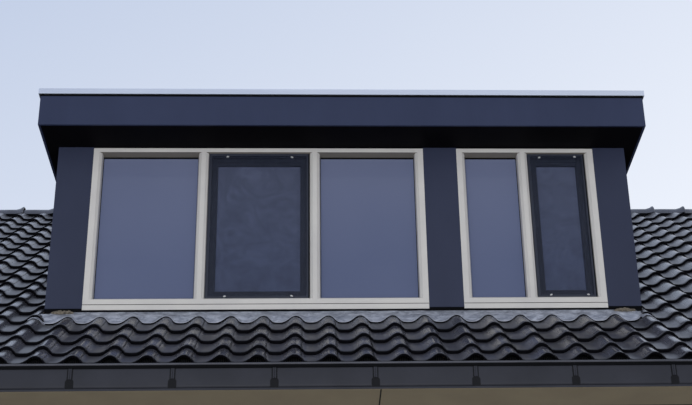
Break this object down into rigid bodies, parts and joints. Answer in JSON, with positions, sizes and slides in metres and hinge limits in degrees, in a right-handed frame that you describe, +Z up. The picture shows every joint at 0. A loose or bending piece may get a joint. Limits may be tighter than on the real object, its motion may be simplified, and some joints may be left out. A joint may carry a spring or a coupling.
{
  "type": "dormer window",
  "caption": "Wide flat roofed dormer with two framed windows, dark panels and a metal roof edge, on a bay of tiled roof from its eaves gutter to its ridge.",
  "frame": {"origin": "on the underside of the wall plate, midway across its width and level with the middle of the dormer", "axes": "+X along the eaves, +Y into the house, +Z up"},
  "size_m": [8.4, 6.2882, 4.5556],
  "materials": {
    "timber": "planed softwood",
    "roof_board": "pressed strand board",
    "clay_tile": "engobed, satin dark grey",
    "plaster_lining": "painted board",
    "painted_board": "satin paint",
    "anthracite_panel": "satin anthracite",
    "anthracite_fascia": "satin anthracite",
    "dark_soffit": "satin near black",
    "beige_board": "matt paint",
    "glazing": "clear double glazing",
    "window_frame_pvc": "satin light grey",
    "dark_sash": "satin dark blue grey",
    "insect_mesh": "woven glass fibre gauze",
    "gutter_grey": "satin dark grey",
    "gutter_strap": "powder coated",
    "lead": "weathered sheet lead",
    "aluminium_trim": "mill finish",
    "rubber_membrane": "matt rubber sheet"
  },
  "bodies": {
    "root": {"back_roof_deck": "roof_board", "back_tiles": "clay_tile", "ceiling_lining": "plaster_lining", "cheek_cladding": "anthracite_panel", "cheek_cores": "timber", "cheek_linings": "plaster_lining", "counter_battens": "timber", "eaves_board": "beige_board", "eaves_soffit": "beige_board", "fixed_panes": "glazing", "flat_roof_deck": "roof_board", "flat_roof_joists": "timber", "front_curb": "timber", "front_edge_joist": "timber", "front_fascia": "anthracite_fascia", "front_header": "timber", "front_inner_lining": "plaster_lining", "front_roof_deck": "roof_board", "front_soffit": "dark_soffit", "front_tiles": "clay_tile", "glazing_beads": "window_frame_pvc", "gutter": "gutter_grey", "gutter_brackets": "gutter_strap", "jack_rafters": "timber", "lead_apron": "lead", "left_fascia": "anthracite_fascia", "left_sash": "dark_sash", "left_window_frame": "window_frame_pvc", "long_rafters": "timber", "panel_drip_trims": "aluminium_trim", "pier_panels": "anthracite_panel", "pier_posts": "timber", "ridge_board": "timber", "ridge_tiles": "clay_tile", "right_fascia": "anthracite_fascia", "right_sash": "dark_sash", "right_window_frame": "window_frame_pvc", "roof_edge_trim": "aluminium_trim", "roof_kerb": "timber", "roof_membrane": "rubber_membrane", "sash_panes": "glazing", "screen_frames": "dark_sash", "screen_meshes": "insect_mesh", "side_flashings": "lead", "side_roof_decks": "roof_board", "side_soffits": "dark_soffit", "side_tiles": "clay_tile", "tile_battens": "timber", "trimmers": "timber", "verge_joists": "timber", "wall_plate": "timber", "window_board": "painted_board", "window_sills": "window_frame_pvc"}
  },
  "joints": []
}
